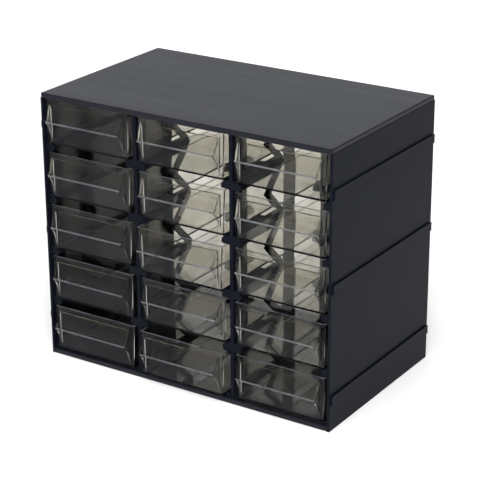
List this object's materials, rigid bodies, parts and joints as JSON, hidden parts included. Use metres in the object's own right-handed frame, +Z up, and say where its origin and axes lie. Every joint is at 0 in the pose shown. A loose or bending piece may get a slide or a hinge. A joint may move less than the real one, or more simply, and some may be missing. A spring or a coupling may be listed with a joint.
{
  "type": "parts bin cabinet",
  "caption": "Open-backed dark plastic cabinet for small parts, with a grid of clear pull-out drawers on ledges and rails on its sides that couple it to a neighbour.",
  "frame": {"origin": "on the floor under the middle of the whole cabinet, from the noses of the drawers that stand out most to the back, and from rail to rail", "axes": "+X to the right as seen from the front, +Y from the drawers' fronts to the back, +Z up"},
  "size_m": [0.3116, 0.1952, 0.26],
  "materials": {
    "housing": "satin blue-black polystyrene, slightly streaked",
    "drawer": "clear glossy polystyrene, faintly warm"
  },
  "bodies": {
    "housing": {"top_panel": "housing", "bottom_panel": "housing", "left_side_panel": "housing", "right_side_panel": "housing", "rear_frame": "housing", "column_divider_1": "housing", "column_divider_2": "housing"},
    "drawer_r1_c1": {"drawer_r1_c1": "drawer"},
    "drawer_r1_c2": {"drawer_r1_c2": "drawer"},
    "drawer_r1_c3": {"drawer_r1_c3": "drawer"},
    "drawer_r2_c1": {"drawer_r2_c1": "drawer"},
    "drawer_r2_c2": {"drawer_r2_c2": "drawer"},
    "drawer_r2_c3": {"drawer_r2_c3": "drawer"},
    "drawer_r3_c1": {"drawer_r3_c1": "drawer"},
    "drawer_r3_c2": {"drawer_r3_c2": "drawer"},
    "drawer_r3_c3": {"drawer_r3_c3": "drawer"},
    "drawer_r4_c1": {"drawer_r4_c1": "drawer"},
    "drawer_r4_c2": {"drawer_r4_c2": "drawer"},
    "drawer_r4_c3": {"drawer_r4_c3": "drawer"},
    "drawer_r5_c1": {"drawer_r5_c1": "drawer"},
    "drawer_r5_c2": {"drawer_r5_c2": "drawer"},
    "drawer_r5_c3": {"drawer_r5_c3": "drawer"}
  },
  "joints": [
    {"name": "drawer_r1_c1_slide", "type": "slide", "parent": "housing", "child": "drawer_r1_c1", "axis": [0, -1, 0], "range_m": [0, 0.15]},
    {"name": "drawer_r1_c2_slide", "type": "slide", "parent": "housing", "child": "drawer_r1_c2", "axis": [0, -1, 0], "range_m": [0, 0.15]},
    {"name": "drawer_r1_c3_slide", "type": "slide", "parent": "housing", "child": "drawer_r1_c3", "axis": [0, -1, 0], "range_m": [0, 0.15]},
    {"name": "drawer_r2_c1_slide", "type": "slide", "parent": "housing", "child": "drawer_r2_c1", "axis": [0, -1, 0], "range_m": [0, 0.15]},
    {"name": "drawer_r2_c2_slide", "type": "slide", "parent": "housing", "child": "drawer_r2_c2", "axis": [0, -1, 0], "range_m": [0, 0.15]},
    {"name": "drawer_r2_c3_slide", "type": "slide", "parent": "housing", "child": "drawer_r2_c3", "axis": [0, -1, 0], "range_m": [0, 0.15]},
    {"name": "drawer_r3_c1_slide", "type": "slide", "parent": "housing", "child": "drawer_r3_c1", "axis": [0, -1, 0], "range_m": [0, 0.15]},
    {"name": "drawer_r3_c2_slide", "type": "slide", "parent": "housing", "child": "drawer_r3_c2", "axis": [0, -1, 0], "range_m": [-0.0045, 0.1455]},
    {"name": "drawer_r3_c3_slide", "type": "slide", "parent": "housing", "child": "drawer_r3_c3", "axis": [0, -1, 0], "range_m": [0, 0.15]},
    {"name": "drawer_r4_c1_slide", "type": "slide", "parent": "housing", "child": "drawer_r4_c1", "axis": [0, -1, 0], "range_m": [0, 0.15]},
    {"name": "drawer_r4_c2_slide", "type": "slide", "parent": "housing", "child": "drawer_r4_c2", "axis": [0, -1, 0], "range_m": [0, 0.15]},
    {"name": "drawer_r4_c3_slide", "type": "slide", "parent": "housing", "child": "drawer_r4_c3", "axis": [0, -1, 0], "range_m": [0, 0.15]},
    {"name": "drawer_r5_c1_slide", "type": "slide", "parent": "housing", "child": "drawer_r5_c1", "axis": [0, -1, 0], "range_m": [0, 0.15]},
    {"name": "drawer_r5_c2_slide", "type": "slide", "parent": "housing", "child": "drawer_r5_c2", "axis": [0, -1, 0], "range_m": [-0.0045, 0.1455]},
    {"name": "drawer_r5_c3_slide", "type": "slide", "parent": "housing", "child": "drawer_r5_c3", "axis": [0, -1, 0], "range_m": [0, 0.15]}
  ]
}
